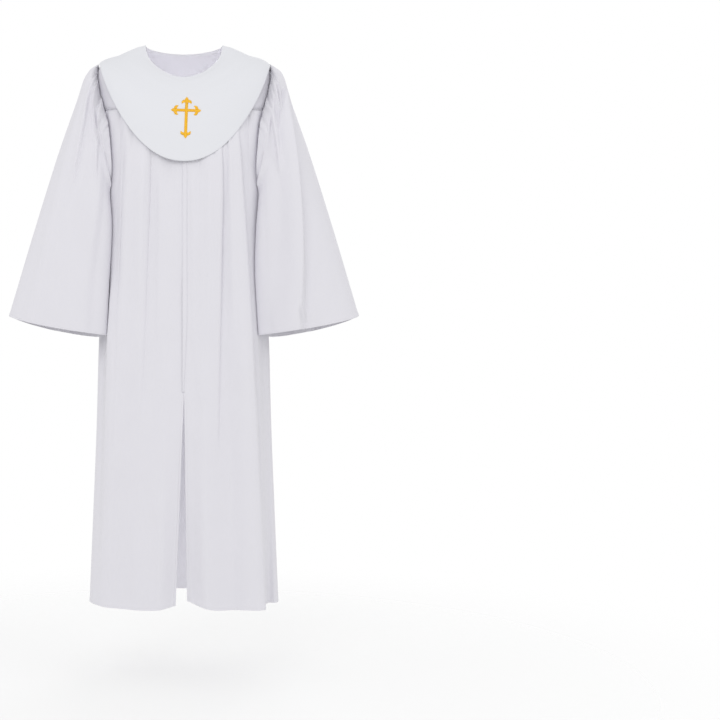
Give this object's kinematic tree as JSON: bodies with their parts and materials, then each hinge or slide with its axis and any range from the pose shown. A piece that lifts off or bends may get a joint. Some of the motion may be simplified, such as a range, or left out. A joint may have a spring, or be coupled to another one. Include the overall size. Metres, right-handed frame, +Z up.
{
  "type": "clergy robe with stole collar",
  "caption": "Long gathered robe with a yoke, wide bell sleeves, an open front slit and a flat stole collar with a gold cross, hollow as worn.",
  "frame": {"origin": "on the line between the two neck points, where a wearer's shoulders hold the robe up", "axes": "+Z up, towards the neck; the front faces -Y; +X is the picture's right, which is the wearer's left"},
  "size_m": [0.802, 0.3147, 1.2739],
  "materials": {
    "robe_cloth": "matt white polyester robe cloth with a fine plain weave and a faint sheen",
    "stole_cloth": "firmer cool white cloth, pressed flat, with a fine weave",
    "gold_thread": "gold embroidery thread in satin stitch with a soft sheen"
  },
  "bodies": {
    "root": {"front_left": "robe_cloth", "front_right": "robe_cloth", "centre_placket": "robe_cloth", "back_panel": "robe_cloth", "yoke": "robe_cloth", "sleeve_left": "robe_cloth", "sleeve_right": "robe_cloth", "stole_collar": "stole_cloth", "gold_cross": "gold_thread"}
  },
  "joints": []
}
